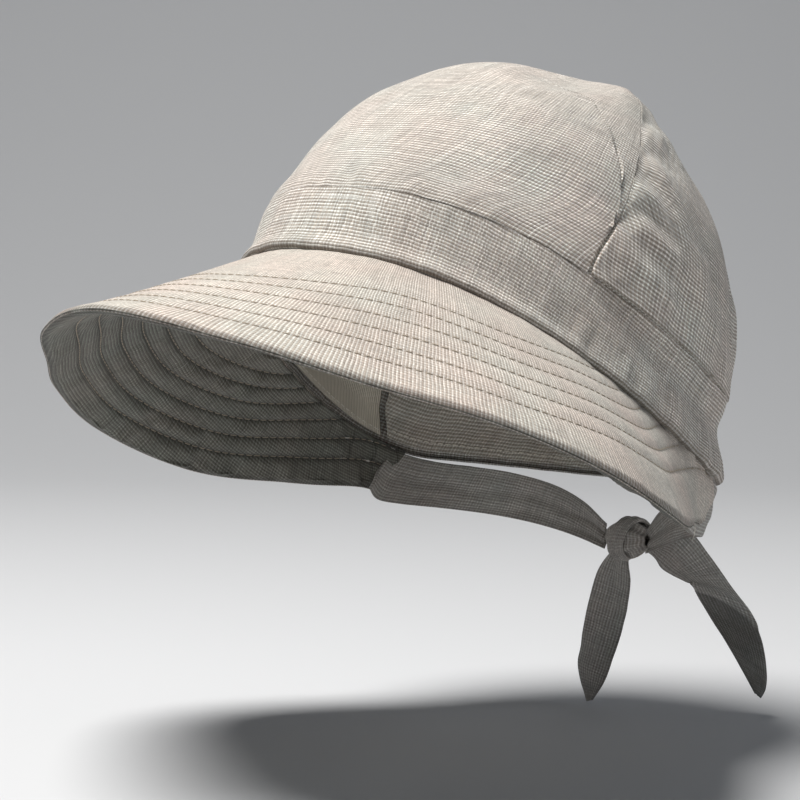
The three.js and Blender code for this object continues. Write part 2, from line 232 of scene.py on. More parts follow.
def sheet_mesh(P, N, thick, uv, closed=False, shade=None):
    """Points and faces of a cloth layer: the grid P is its outer face and the inner one lies thick below it."""
    nr, nc = P.shape[:2]
    Q = P - N * (np.broadcast_to(thick, P.shape[:2])[..., None])
    V = np.concatenate([P.reshape(-1, 3), Q.reshape(-1, 3)])
    W = np.concatenate([uv.reshape(-1, 2)] * 2)
    r, c = np.meshgrid(np.arange(nr - 1), np.arange(nc if closed else nc - 1), indexing="ij")
    r, c = r.ravel(), c.ravel()
    c1 = (c + 1) % nc
    n = nr * nc
    a, b, d, e = r * nc + c, r * nc + c1, (r + 1) * nc + c1, (r + 1) * nc + c
    faces = [np.stack([a, b, d, e], 1), np.stack([e, d, b, a], 1) + n]
    c = np.arange(nc if closed else nc - 1)
    c1 = (c + 1) % nc
    faces.append(np.stack([c, c + n, c1 + n, c1], 1))
    t = (nr - 1) * nc
    faces.append(np.stack([t + c, t + c1, t + c1 + n, t + c + n], 1))
    if not closed:
        r = np.arange(nr - 1) * nc
        faces.append(np.stack([r, r + nc, r + nc + n, r + n], 1))
        r = r + nc - 1
        faces.append(np.stack([r, r + n, r + nc + n, r + nc], 1))
    F = np.concatenate(faces)
    # the grid may wind either way; make the outer face point along N
    m = np.cross(V[F[0, 1]] - V[F[0, 0]], V[F[0, 2]] - V[F[0, 0]])
    mid = len(faces[0]) // 2 + (nc // 2)
    m = np.cross(V[F[mid, 1]] - V[F[mid, 0]], V[F[mid, 2]] - V[F[mid, 0]])
    if (m * N.reshape(-1, 3)[F[mid, 0]]).sum() < 0:
        F = F[:, ::-1]
    S = None if shade is None else np.concatenate([shade.ravel()] * 2)
    return V, F, W, S


def tube(points, radius, sides=6, closed_ends=True):
    """Points and faces of a round thread along a line of points."""
    points = np.asarray(points, float)
    t = unit(np.gradient(points, axis=0))
    ref = np.where(np.abs(t[:, 2:3]) > 0.9, np.array([[1.0, 0, 0]]), np.array([[0, 0, 1.0]]))
    a = unit(np.cross(t, ref))
    b = np.cross(t, a)
    ang = np.linspace(0, 2 * np.pi, sides, endpoint=False)
    ring = a[:, None] * np.cos(ang)[None, :, None] + b[:, None] * np.sin(ang)[None, :, None]
    V = (points[:, None] + ring * np.broadcast_to(radius, len(points))[:, None, None]).reshape(-1, 3)
    n = len(points)
    F = []
    for i in range(n - 1):
        for j in range(sides):
            k = (j + 1) % sides
            F.append([i * sides + j, i * sides + k, (i + 1) * sides + k, (i + 1) * sides + j])
    if closed_ends:
        V = np.concatenate([V, points[:1], points[-1:]])
        for j in range(sides):
            k = (j + 1) % sides
            F.append([n * sides, k, j])
            F.append([n * sides + 1, (n - 1) * sides + j, (n - 1) * sides + k])
    return V, F


def stitches(line, normal, length=2.7, gap=0.8, radius=0.24, lift=0.05):
    """A row of separate stitches along a dense line lying on cloth with the given normals."""
    along = np.concatenate([[0], np.cumsum(np.linalg.norm(np.diff(line, axis=0), axis=-1))])
    V, F, k = [], [], 0
    s = 1.0
    while s + length < along[-1] - 1:
        at = s + length * np.array([0, 0.12, 0.5, 0.88, 1.0])
        p = np.stack([np.interp(at, along, line[:, i]) for i in range(3)], -1)
        n = unit(np.stack([np.interp(at, along, normal[:, i]) for i in range(3)], -1))
        p = p + n * (lift + radius * np.array([-1.2, 0.1, 0.35, 0.1, -1.2]))[:, None]
        v, f = tube(p, radius * np.array([0.6, 0.95, 1.05, 0.95, 0.6]), 5)
        V.append(v)
        F += [[i + k for i in q] for q in f]
        k += len(v)
        s += length + gap
    return np.concatenate(V), F


def merge(parts):
    V, F, k = [], [], 0
    for v, f in parts:
        V.append(v)
        F += [[int(i) + k for i in q] for q in f]
        k += len(v)
    return np.concatenate(V), F


# ---------------------------------------------------------------- materials
class Nodes:
    def __init__(self, name):
        self.mat = bpy.data.materials.new(name)
        self.mat.use_nodes = True
        self.nt = self.mat.node_tree
        self.bsdf = self.nt.nodes["Principled BSDF"]

    def node(self, kind, **values):
        n = self.nt.nodes.new(kind)
        for k, v in values.items():
            setattr(n, k, v)
        return n

    def link(self, a, b):
        self.nt.links.new(a, b)

    def feed(self, socket, v):
        if hasattr(v, "is_linked") or hasattr(v, "links"):
            self.link(v, socket)
        else:
            socket.default_value = v

    def math(self, op, a, b=0.0, c=0.0):
        n = self.node("ShaderNodeMath", operation=op)
        self.feed(n.inputs[0], a)
        self.feed(n.inputs[1], b)
        if len(n.inputs) > 2:
            self.feed(n.inputs[2], c)
        return n.outputs[0]

    def mix(self, f, a, b):
        n = self.node("ShaderNodeMix", data_type="RGBA")
        self.feed(n.inputs[0], f)
        for s, v in ((n.inputs[6], a), (n.inputs[7], b)):
            if isinstance(v, tuple):
                s.default_value = (*v, 1.0)
            else:
                self.link(v, s)
        return n.outputs[2]

    def xyz(self, x, y, z=0.0):
        n = self.node("ShaderNodeCombineXYZ")
        self.feed(n.inputs[0], x)
        self.feed(n.inputs[1], y)
        self.feed(n.inputs[2], z)
        return n.outputs[0]

    def noise(self, vector, scale, detail=2.0, rough=0.5):
        n = self.node("ShaderNodeTexNoise")
        self.link(vector, n.inputs["Vector"])
        n.inputs["Scale"].default_value = scale
        n.inputs["Detail"].default_value = detail
        n.inputs["Roughness"].default_value = rough
        return n.outputs[0]

    def remap(self, v, a, b, c=0.0, d=1.0):
        n = self.node("ShaderNodeMapRange")
        self.feed(n.inputs[0], v)
        for i, x in enumerate((a, b, c, d)):
            n.inputs[i + 1].default_value = x
        return n.outputs[0]


def lin(r, g, b):
    return tuple(((c / 255 / 12.92) if c <= 10 else ((c / 255 + 0.055) / 1.055) ** 2.4) for c in (r, g, b))


def weave(name, white, light, dark, deep, pitch=0.69, slub=1.0, bump=0.2, contrast=1.0, turn=False, sheen=0.12, tint=1.0):
    """Plain-woven cloth of alternate pale and dark threads, so that pale dots stand in rows. white and light are the pale row's two
    colours, dark and deep the next row's. It reads the piece's own cloth coordinates."""
    k = Nodes(name)
    uv = k.node("ShaderNodeUVMap", uv_map="weave").outputs[0]
    sep = k.node("ShaderNodeSeparateXYZ")
    k.link(uv, sep.inputs[0])
    u0, v0 = (sep.outputs[1], sep.outputs[0]) if turn else (sep.outputs[0], sep.outputs[1])
    wob_u = k.noise(k.xyz(k.math("MULTIPLY", u0, 0.05), k.math("MULTIPLY", v0, 0.12)), 1.0, 2.0)
    wob_v = k.noise(k.xyz(k.math("MULTIPLY", u0, 0.12), k.math("MULTIPLY", v0, 0.05), 4.0), 1.0, 2.0)
    U = k.math("DIVIDE", k.math("MULTIPLY_ADD", wob_u, 1.1, u0), pitch)
    V = k.math("DIVIDE", k.math("MULTIPLY_ADD", wob_v, 1.1, v0), pitch)
    iu, iv = k.math("FLOOR", U), k.math("FLOOR", V)
    pu = k.math("SINE", k.math("MULTIPLY", k.math("FRACT", U), math.pi))
    pv = k.math("SINE", k.math("MULTIPLY", k.math("FRACT", V), math.pi))
    odd_u, odd_v = k.math("FLOORED_MODULO", iu, 2.0), k.math("FLOORED_MODULO", iv, 2.0)
    over = k.math("FLOORED_MODULO", k.math("ADD", iu, iv), 2.0)
    hu = k.math("MULTIPLY", pu, k.math("MULTIPLY_ADD", pv, 0.5, 0.5))
    hv = k.math("MULTIPLY", pv, k.math("MULTIPLY_ADD", pu, 0.5, 0.5))
    height = k.math("ADD", k.math("MULTIPLY", hv, over), k.math("MULTIPLY", hu, k.math("SUBTRACT", 1.0, over)))
    c = k.mix(odd_v, k.mix(odd_u, white, light), k.mix(odd_u, dark, deep))
    # each thread has its own tone, which drifts along its length
    warp = k.noise(k.xyz(k.math("MULTIPLY", iu, 7.31), k.math("MULTIPLY", V, 0.030)), 1.0, 1.5)
    weft = k.noise(k.xyz(k.math("MULTIPLY", U, 0.030), k.math("MULTIPLY", iv, 5.17), 9.0), 1.0, 1.5)
    tone = k.math("MULTIPLY", k.remap(warp, 0.25, 0.75, 1.0 - 0.21 * slub, 1.0 + 0.21 * slub), k.remap(weft, 0.25, 0.75, 1.0 - 0.19 * slub, 1.0 + 0.19 * slub))
    # slubs: thicker pale lengths of thread in both directions
    su = k.remap(k.noise(k.xyz(k.math("MULTIPLY", iu, 3.77), k.math("MULTIPLY", V, 0.014), 21.0), 1.0, 1.0), 0.655, 0.74, 0, slub)
    sv = k.remap(k.noise(k.xyz(k.math("MULTIPLY", U, 0.016), k.math("MULTIPLY", iv, 4.41), 33.0), 1.0, 1.0), 0.66, 0.745, 0, slub * 0.9)
    slubs = k.math("MAXIMUM", su, sv)
    c = k.mix(k.math("MULTIPLY", slubs, 0.42), c, tuple(min(1, x * 1.03) for x in white))
    grain = k.node("ShaderNodeTexWhiteNoise", noise_dimensions="2D")
    k.link(k.xyz(iu, iv), grain.inputs["Vector"])
    tone = k.math("MULTIPLY", tone, k.remap(grain.outputs["Value"], 0.0, 1.0, 0.86, 1.14))
    shadow = k.remap(height, 0.0, 0.9, 1.0 - 0.30 * contrast, 1.0)
    # soft uneven tone and hue, and painted shade from the shade attribute: seams, edges, rows and creases darkened
    place = k.node("ShaderNodeTexCoord").outputs["Object"]
    cloud = k.remap(k.noise(place, 24.0, 3.0), 0.3, 0.7, 0.90, 1.09)
    hue = k.mix(k.remap(k.noise(place, 34.0, 2.0), 0.35, 0.65), (1.0 + 0.030 * tint, 0.985, 0.965), (0.975, 1.0, 1.0 - 0.012 * tint))
    shade = k.node("ShaderNodeAttribute", attribute_name="shade").outputs["Fac"]
    total = k.math("MULTIPLY", k.math("MULTIPLY", k.math("MULTIPLY", shadow, cloud), shade), tone)
    m = k.node("ShaderNodeVectorMath", operation="MULTIPLY")
    k.link(c, m.inputs[0])
    k.link(hue, m.inputs[1])
    n = k.node("ShaderNodeVectorMath", operation="SCALE")
    k.link(m.outputs[0], n.inputs[0])
    k.link(total, n.inputs[3])
    k.link(n.outputs[0], k.bsdf.inputs["Base Color"])
    fuzz = k.noise(place, 2600.0, 2.0)
    b = k.node("ShaderNodeBump")
    b.inputs["Distance"].default_value = bump * 0.001
    b.inputs["Strength"].default_value = 0.8
    k.link(k.math("ADD", k.math("ADD", height, k.math("MULTIPLY", slubs, 0.6)), k.math("MULTIPLY", fuzz, 0.35)), b.inputs["Height"])
    k.link(b.outputs[0], k.bsdf.inputs["Normal"])
    k.bsdf.inputs["Roughness"].default_value = 0.93
    k.bsdf.inputs["Specular IOR Level"].default_value = 0.18
    k.bsdf.inputs["Sheen Weight"].default_value = sheen
    k.bsdf.inputs["Sheen Roughness"].default_value = 0.6
    return k.mat


def ribbed(name, colour, pitch, depth=0.3, cross=0.0):
    """Ribbed ribbon or braided elastic: ribs across its length."""
    k = Nodes(name)
    uv = k.node("ShaderNodeUVMap", uv_map="weave").outputs[0]
    sep = k.node("ShaderNodeSeparateXYZ")
    k.link(uv, sep.inputs[0])
    pu = k.math("ABSOLUTE", k.math("SINE", k.math("MULTIPLY", sep.outputs[0], math.pi / pitch)))
    pv = k.math("ABSOLUTE", k.math("SINE", k.math("MULTIPLY", sep.outputs[1], math.pi / 0.8)))
    h = k.math("ADD", pu, k.math("MULTIPLY", pv, cross))
    place = k.node("ShaderNodeTexCoord").outputs["Object"]
    cloud = k.remap(k.noise(place, 60.0, 4.0), 0.3, 0.7, 0.84, 1.04)
    shade = k.node("ShaderNodeAttribute", attribute_name="shade").outputs["Fac"]
    # Painted shade: the rib hollows are darkened, and the shade attribute's painted shade is applied.
    total = k.math("MULTIPLY", k.math("MULTIPLY", k.remap(h, 0.0, 1.0, 0.72, 1.0), cloud), shade)
    n = k.node("ShaderNodeVectorMath", operation="SCALE")
    n.inputs[0].default_value = colour
    k.link(total, n.inputs[3])
    k.link(n.outputs[0], k.bsdf.inputs["Base Color"])
    b = k.node("ShaderNodeBump")
    b.inputs["Distance"].default_value = depth * 0.001
    k.link(k.math("ADD", h, k.math("MULTIPLY", k.noise(place, 3000.0, 2.0), 0.4)), b.inputs["Height"])
    k.link(b.outputs[0], k.bsdf.inputs["Normal"])
    k.bsdf.inputs["Roughness"].default_value = 0.88
    k.bsdf.inputs["Specular IOR Level"].default_value = 0.2
    return k.mat


def thread(name, colour):
    """Sewing thread: twisted, slightly shiny."""
    k = Nodes(name)
    place = k.node("ShaderNodeTexCoord").outputs["Object"]
    f = k.noise(place, 1800.0, 2.0)
    c = k.mix(k.remap(f, 0.3, 0.7), tuple(x * 0.75 for x in colour), tuple(min(1, x * 1.15) for x in colour))
    k.link(c, k.bsdf.inputs["Base Color"])
    b = k.node("ShaderNodeBump")
    b.inputs["Distance"].default_value = 0.0001
    k.link(f, b.inputs["Height"])
    k.link(b.outputs[0], k.bsdf.inputs["Normal"])
    k.bsdf.inputs["Roughness"].default_value = 0.6
    return k.mat


CLOTH_SET = (lin(248, 246, 242), lin(222, 216, 208), lin(186, 178, 168), lin(163, 153, 142))
M_CROWN = weave("cloth_crown", *CLOTH_SET)
M_BAND = weave("cloth_band", *(tuple(x * 0.96 for x in c) for c in CLOTH_SET))
M_BRIM = weave("cloth_brim", lin(244, 240, 233), lin(206, 195, 184), lin(228, 220, 211), lin(184, 171, 159), slub=0.7, tint=1.2)
# The brim's underside has darker base colours than its top: painted shade, for the same cloth lying in shadow under the
# brim.
M_UNDER_PAINTED_SHADE = weave("cloth_brim_under", lin(150, 150, 142), lin(130, 129, 121), lin(116, 114, 106), lin(102, 100, 92), slub=0.9, contrast=0.9)
# The tie's base colours are darker than the crown's: painted shade, for the same cloth in shadow.
M_TIE_PAINTED_SHADE = weave("cloth_tie", lin(206, 204, 200), lin(190, 187, 182), lin(172, 168, 162), lin(158, 153, 147), pitch=0.6, slub=0.8, contrast=0.7)
M_LINING = weave("cloth_inside", lin(226, 222, 214), lin(204, 198, 189), lin(180, 173, 162), lin(160, 152, 141), slub=0.5)
M_TAPE = weave("seam_tape", lin(228, 222, 210), lin(214, 207, 194), lin(204, 196, 182), lin(192, 184, 170), pitch=0.6, slub=0.1, contrast=0.6)
M_SWEAT = ribbed("sweatband_cotton", lin(222, 214, 198), 1.1, 0.35)
M_ELASTIC = ribbed("elastic", lin(232, 228, 220), 1.6, 0.4, 0.5)
M_CORE = ribbed("interlining", lin(236, 233, 226), 2.3, 0.1, 0.6)
M_THREAD = thread("stitch_thread", lin(168, 155, 137))
M_THREAD_PALE = thread("stitch_thread_pale", lin(228, 222, 210))


# ---------------------------------------------------------------- crown panels
BAND = 0.2
THICK = 0.8


def split_y(z):
    return np.interp(z, SPLIT[:, 1], SPLIT[:, 0])


def seam_level(deg):
    """How far up the crown the cross seam lies at an angle, or the band's top where it has not started yet."""
    s = np.linspace(BAND, 1, 600)
    out = np.empty(len(deg))
    for i, d in enumerate(deg):
        p = crown(np.full_like(s, d), s)
        f = p[:, 1] - split_y(p[:, 2])
        behind = np.nonzero(f > 0)[0]
        if not len(behind) or f[-1] > 0:
            out[i] = BAND
            continue
        j = behind[-1]
        out[i] = s[j] + (s[j + 1] - s[j]) * f[j] / (f[j] - f[j + 1])
    return out


side_deg = np.linspace(60, 100, 400)
lev = seam_level(side_deg)
DEG_X = float(side_deg[np.nonzero(lev > BAND + 1e-4)[0][0]])      # where the cross seam meets the band

half = np.linspace(DEG_X + 0.05, 180, 160)
half_lev = seam_level(half)
cross = crown(half, half_lev)
CROSS = np.concatenate([crown(np.array([DEG_X]), np.array([BAND])), cross])
CROSS = np.concatenate([CROSS, (CROSS * [-1, 1, 1])[::-1][1:]])
ringdeg = np.linspace(-180, 180, 721)
BANDTOP = crown(ringdeg, np.full_like(ringdeg, BAND))


def cloth_coords(deg, s, P, middle, run=None):
    """Cloth coordinates of a crown panel: round the crown and up it, turning to straight across near the top."""
    up = arc(crown(deg, s), 0) if run is None else run
    ring = np.hypot(P[..., 0], P[..., 1] - 14.0)
    a = (deg - middle + 180) % 360 - 180 if middle else deg
    u, v = np.radians(a) * ring, up
    if middle:
        return np.stack([u + 400, v], -1)
    ys = np.linspace(0, 1, 200)
    prof = np.concatenate([crown(np.zeros(200), 0.15 + 0.85 * ys), crown(np.full(200, 180.0), 1 - 0.85 * ys)[1:]])
    length = np.concatenate([[0], np.cumsum(np.linalg.norm(np.diff(prof, axis=0), axis=-1))])
    order = np.argsort(prof[:, 1])
    V = np.interp(P[..., 1], prof[order, 1], length[order])
    w = smooth(0.62, 0.95, s)
    return np.stack([u * (1 - w) + P[..., 0] * 1.05 * w + 400, v * (1 - w) + V * w], -1)


def roll(d, r=0.8):
    """How far a cloth edge turned in at a seam has dropped, at distance d from that seam."""
    x = np.clip(1 - d / r, 0, 1)
    return r * (1 - np.sqrt(np.maximum(1 - x * x, 0)))


def puff(P, d_seam, a_seam, seed, reach=7.0, size=0.5, wave=6.5):
    """Small puckers that fade away from a seam."""
    return size * np.exp(-d_seam / reach) * noise(a_seam / wave, d_seam / 14.0, seed) * smooth(0, 2.5, d_seam)


def fold(P, a, b, wide, deep):
    """A fold between two points of the cloth: a soft ridge with a valley beside it."""
    a, b = np.array(a, float), np.array(b, float)
    ab = b - a
    t = np.clip(((P - a) @ ab) / (ab @ ab), 0, 1)
    d = np.linalg.norm(P - (a + t[..., None] * ab), axis=-1)
    return deep * np.exp(-(d / wide) ** 2) * np.sin(np.pi * np.clip(t * 0.9 + 0.05, 0, 1)) ** 0.6


def soft_form(P):
    """Slow unevenness of the whole crown, as of cloth that is worn and not pressed."""
    return 0.9 * noise(P[..., 0] / 34 + P[..., 2] / 60, P[..., 1] / 38, 3) + 0.45 * noise(P[..., 0] / 17, P[..., 1] / 19 + P[..., 2] / 23, 4)


def crown_displacement(P, back):
    dc, _ = nearest(P, CROSS)
    ac = 95 * np.arctan2(P[..., 0], P[..., 2] - 30)
    db, ab = nearest(P, BANDTOP)
    w = soft_form(P) * smooth(0, 14, db) * smooth(0, 12, dc)
    w = w + puff(P, db, ab, 11, 6.0, 0.55, 5.5) + puff(P, dc, ac, 12, 7.0, 0.55 if not back else 1.0, 7.0 if not back else 8.0)
    if back:
        # gathered cloth: folds run down from the cross seam and up from the band
        w = w + 1.3 * np.exp(-db / 20) * noise(ab / 9.0, db / 40, 21) * smooth(0, 3, db)
        w = w + 1.2 * np.exp(-dc / 17) * noise(ac / 8.0, dc / 36, 22) * smooth(0, 3, dc)
        w = w + 0.6 * noise(ab / 14.0 + db / 60, db / 34, 23)
    else:
        w = w + 0.35 * np.exp(-db / 16) * noise(ab / 16.0, db / 30, 24)
    # seams pull the cloth in
    w = w - 0.35 * np.exp(-(dc / 4.0) ** 2) - 0.3 * np.exp(-(db / 3.0) ** 2)
    w = w + fold(P, (62.5, 23, 109), (48, 33, 118.6), 10, 1.6) + fold(P, (50, 32, 118), (24, 50, 123), 9, 2.4)
    if not back:
        w = w + fold(P, (49, -3, 119), (20, 20, 128), 17, -5.4)
    for a, b, wide, deep in (FOLDS_BACK if back else FOLDS_FRONT):
        w = w + fold(P, a, b, wide, deep)
    return w - 0.38 * roll(dc) - 0.5 * roll(db), np.minimum(dc * 1.6, db)


# Painted shade: the cloth is darkened in a narrow line along a seam, where its groove lies in shadow.
def seam_shade(d):
    return 1 - 0.22 * np.exp(-(d / 0.9) ** 2)


FOLDS_FRONT = [((11.2, -83.6, 83.7), (2.0, -77.5, 91.0), 2.6, -0.9), ((16, -83, 83), (9, -77, 90.5), 2.8, 0.6),
               ((76.0, -14, 73), (73.5, -22, 67), 5.0, -0.35)]
FOLDS_BACK = [((75.0, 2.0, 91.0), (82.4, 11.6, 76.9), 4.2, -1.6), ((79.0, -1.5, 85.5), (84.4, 7.0, 73.0), 3.6, 1.0),
              ((71.0, 15.0, 98.0), (77.0, 19.5, 87.0), 4.6, -1.0), ((74.5, 10.0, 94.0), (79.5, 15.0, 84.0), 4.0, 0.7),
              ((80.5, -3.0, 77.5), (87.0, 14.8, 60.3), 4.4, -1.9), ((82.5, -6.0, 72.0), (88.0, 9.0, 56.0), 3.8, 1.2),
              ((82.0, -9.5, 66.0), (89.5, 17.7, 41.0), 4.6, -1.9), ((84.0, -14, 59.0), (89.0, 9.0, 39.0), 3.8, 1.2)]


def relaxed(P, pins, grow, frames=32, gravity=0.2, pressure=0.0, bend=0.6, stiff=22.0):
    """How a sheet of cloth settles when it is sewn down at its pins and cut a little larger than its place. P is a grid of points."""
    nr, nc = P.shape[:2]
    me = bpy.data.meshes.new("settling")
    r, c = np.meshgrid(np.arange(nr - 1), np.arange(nc - 1), indexing="ij")
    i = (r * nc + c).ravel()
    me.from_pydata((P.reshape(-1, 3) * 0.001).tolist(), [], np.stack([i, i + 1, i + nc + 1, i + nc], 1).tolist())
    o = bpy.data.objects.new("settling", me)
    bpy.context.scene.collection.objects.link(o)
    group = o.vertex_groups.new(name="sewn")
    flat = pins.ravel()
    for w in np.unique(np.round(flat, 2)):
        if w > 0:
            group.add([int(k) for k in np.nonzero(np.round(flat, 2) == w)[0]], float(w), "REPLACE")
    mod = o.modifiers.new("cloth", "CLOTH")
    st = mod.settings
    st.quality = 6
    st.mass = 0.08
    st.tension_stiffness = st.compression_stiffness = stiff
    st.shear_stiffness = stiff * 0.5
    st.bending_stiffness = bend
    st.tension_damping = st.compression_damping = st.shear_damping = 12
    st.bending_damping = 1.0
    st.air_damping = 2.0
    st.vertex_group_mass = "sewn"
    st.shrink_min = -grow
    st.effector_weights.gravity = gravity
    if pressure:
        st.use_pressure = True
        st.uniform_pressure_force = pressure
    mod.collision_settings.use_collision = False
    mod.collision_settings.use_self_collision = False
    mod.point_cache.frame_start, mod.point_cache.frame_end = 1, frames
    scene = bpy.context.scene
    for f in range(1, frames + 1):
        scene.frame_set(f)
        dg = bpy.context.evaluated_depsgraph_get()
        dg.update()
    e = o.evaluated_get(dg)
    co = np.empty(len(e.data.vertices) * 3)
    e.data.vertices.foreach_get("co", co)
    bpy.data.objects.remove(o)
    scene.frame_set(1)
    return co.reshape(nr, nc, 3) * 1000


def enlarge(A, nr, nc):
    """A small table of numbers read at a finer grid."""
    r, c = np.linspace(0, A.shape[0] - 1, nr), np.linspace(0, A.shape[1] - 1, nc)

    def along(B, x):
        n = B.shape[0]
        i = np.clip(np.floor(x).astype(int), 0, n - 2)
        t = (x - i)[:, None]
        q = lambda k: B[np.clip(i + k, 0, n - 1)]
        return crom(q(-1), q(0), q(1), q(2), t)
    return along(along(A, r).T, c).T


def crown_front():
    nc, nr = 420, 120
    deg = np.linspace(-180, 180, nc + 1)[:-1]
    extra = seam_level(np.abs(deg))
    start = np.where(np.abs(deg) < DEG_X, BAND, extra)
    r = np.linspace(0, 1, nr)
    r = r ** 1.15
    s = start[None] + (0.9965 - start[None]) * r[:, None]
    P = crown(np.broadcast_to(deg, s.shape), s)
    n0 = crown_normal(np.broadcast_to(deg, s.shape), s)
    w, d = crown_displacement(P, False)
    low = np.linspace(0.15, 1, 300)
    levels = crown(np.zeros(300)[:, None] + np.abs(deg)[None], np.broadcast_to(low[:, None], (300, nc)))
    height = arc(levels, 0)
    run = np.stack([np.interp(s[:, c], low, height[:, c]) for c in range(nc)], 1)
    D = np.broadcast_to(deg, s.shape)
    uv = cloth_coords(D, s, P, 0, run)
    P = P + n0 * w[..., None]
    N = grid_normals(P, n0, True)
    V, F, W, S = sheet_mesh(P, N, THICK, uv, True, seam_shade(d))
    # close the middle
    top, bottom = P[-1].mean(0), (P[-1] - N[-1] * THICK).mean(0)
    k, n = len(V), P.shape[0] * P.shape[1]
    V = np.concatenate([V, [top + [0, 0, 0.02], bottom]])
    W = np.concatenate([W, [uv[-1].mean(0)] * 2])
    S = np.concatenate([S, [1, 1]])
    base = (nr - 1) * nc
    F = [list(f) for f in F if not (set(f[:4]) <= set(range(base, base + nc)) | set(range(base + n, base + n + nc)))]
    fan = []
    for c in range(nc):
        c1 = (c + 1) % nc
        fan.append([base + c, base + c1, k])
        fan.append([n + base + c1, n + base + c, k + 1])
    m = np.cross(V[fan[0][1]] - V[fan[0][0]], V[fan[0][2]] - V[fan[0][0]])
    if m[2] < 0:
        fan = [f[::-1] for f in fan]
    return put("crown_front_cloth", V, F + fan, W, M_CROWN, S)


def crown_back():
    nc, nr = 420, 130
    deg = np.linspace(DEG_X + 0.06, 360 - DEG_X - 0.06, nc)
    end = seam_level(180 - np.abs(180 - deg))
    end = np.maximum(end, BAND + 0.002)
    r = np.linspace(0, 1, nr)
    s = BAND + (end[None] - BAND) * r[:, None]
    D = np.broadcast_to(deg, s.shape)
    P = crown(D, s)
    n0 = crown_normal(D, s)
    w, d = crown_displacement(P, True)
    kr, kc = 46, 150
    small = P[np.linspace(0, nr - 1, kr).round().astype(int)][:, np.linspace(0, nc - 1, kc).round().astype(int)]
    pins = np.zeros((kr, kc))
    pins[0] = pins[-1] = 1
    pins[:, :6] = pins[:, -6:] = 1
    settled = relaxed(small, pins, 0.02, frames=24, gravity=0.1, pressure=0.2)
    sn = grid_normals(small, small - np.array([0, 14.0, 20.0]))
    ws = ((settled - small) * sn).sum(-1)
    if not np.isfinite(ws).all():
        print("the back panel's settling failed, so it has no wrinkles from it")
        ws = np.zeros_like(ws)
    print("back panel settled by", round(float(ws.min()), 2), "to", round(float(ws.max()), 2), "mm before it is scaled")
    ws = ws - ws.mean()
    w = w + np.clip(0.32 * enlarge(ws, nr, nc), -0.9, 0.9) * smooth(4, 20, d)
    uv = cloth_coords(D, s, P, 180)
    P = P + n0 * w[..., None]
    N = grid_normals(P, n0)
    V, F, W, S = sheet_mesh(P, N, THICK, uv, False, seam_shade(d))
    return put("crown_back_cloth", V, F, W, M_CROWN, S)


def band_relief(deg, s):
    """The hollow and the fullness of the band behind the side."""
    x = s / BAND
    back = smooth(60, 88, np.abs(deg)) * (1 - 0.55 * smooth(120, 170, np.abs(deg)))
    mid = 0.86 - 0.20 * smooth(68, 105, np.abs(deg))
    return back * (2.3 * np.exp(-((x - 0.17) / 0.2) ** 2) - 2.9 * np.exp(-((x - mid) / 0.24) ** 2))


def band_profile(deg, s):
    """Displacement of the crown band: full near its lower edge, hollow above it behind the side."""
    P = crown(deg, s)
    x = s / BAND
    back = smooth(70, 125, np.abs(deg))
    db, ab = nearest(P, BANDTOP)
    down = np.cumsum(np.concatenate([np.zeros((1, P.shape[1])), np.linalg.norm(np.diff(P, axis=0), axis=-1)]), 0)
    w = 0.5 * noise(ab / 30, x * 1.2, 31) + band_relief(deg, s)
    w = w + 0.55 * smooth(40, 75, np.abs(deg)) * np.sin(ab / 2.9 + 2.0 * noise(ab / 13, 0, 36)) * np.exp(-((x - 0.2) / 0.22) ** 2)
    w = w + back * 0.7 * noise(ab / 11.0, x * 1.6, 33) + 0.3 * noise(ab / 9, x * 3, 35)
    w = w + 0.5 * np.exp(-db / 5) * noise(ab / 5.5, 0, 32) * smooth(0, 1.5, db) + 0.35 * np.exp(-down / 5) * noise(ab / 6.5, 0, 34)
    # full lower edge that rolls under, lapping over the brim
    w = w + 1.9 * np.exp(-(np.maximum(down - 2.2, 0) / 3.4) ** 2) - 0.3 * np.exp(-(db / 3.0) ** 2)
    e = np.clip(1 - down / 2.2, 0, 1)
    return P, w - 0.6 * roll(db) - 2.4 * (1 - np.sqrt(np.maximum(1 - e * e, 0))), db, ab, down


def crown_band_piece():
    nc, nr = 900, 48
    deg = np.linspace(-180, 180, nc + 1)[:-1]
    r = np.linspace(0, 1, nr)
    r = 0.5 - 0.5 * np.cos(np.pi * r)
    s = np.broadcast_to((-0.006 + (BAND + 0.006) * r)[:, None], (nr, nc))
    D = np.broadcast_to(deg, s.shape)
    P, w, db, ab, down = band_profile(D, s)
    n0 = crown_normal(D, np.maximum(s, 0.001))
    uv = np.stack([ab, arc(P, 0)], -1)
    # join at the centre back
    dj = np.minimum(np.abs(np.abs(D) - 180) * 1.6, 30)
    w = w - 0.8 * np.exp(-(dj / 1.0) ** 2)
    P = P + n0 * w[..., None]
    N = grid_normals(P, n0, True)
    # Painted shade: darker along the seams and on the band's rolled lower edge, which faces down into shadow.
    shade = seam_shade(np.minimum(db, dj)) * (1 - 0.45 * np.exp(-(down / 2.3) ** 2))
    V, F, W, S = sheet_mesh(P, N, THICK, uv, True, shade)
    return put("crown_band_cloth", V, F, W, M_BAND, S)


# ---------------------------------------------------------------- brim
ROWS = (14.0, 23.5, 33.0, 42.5, 52.0, 61.0)      # stitch rows, from the outer edge inwards


def inset(D, T):
    """The cloth's edge stands a little inside the nominal outline."""
    return T * (1 - (1.5 + 1.9 * np.exp(-((D + 20) / 18) ** 2)) / tab(BRIM_W, D))


def brim_grid(nt, nc):
    t = np.linspace(0, 1, nt)
    v = np.linspace(-1, 1, nc)
    T = np.broadcast_to(t[:, None], (nt, nc))
    D = v[None] * (END_SEAM + (END_EDGE - END_SEAM) * T)
    return D, T


def edge_distance(D, T):
    return (1 - T) * tab(BRIM_W, D)


def row_shift(D):
    return 8.0 * smooth(45, 66, D) - 1.5 * smooth(20, 50, -D)


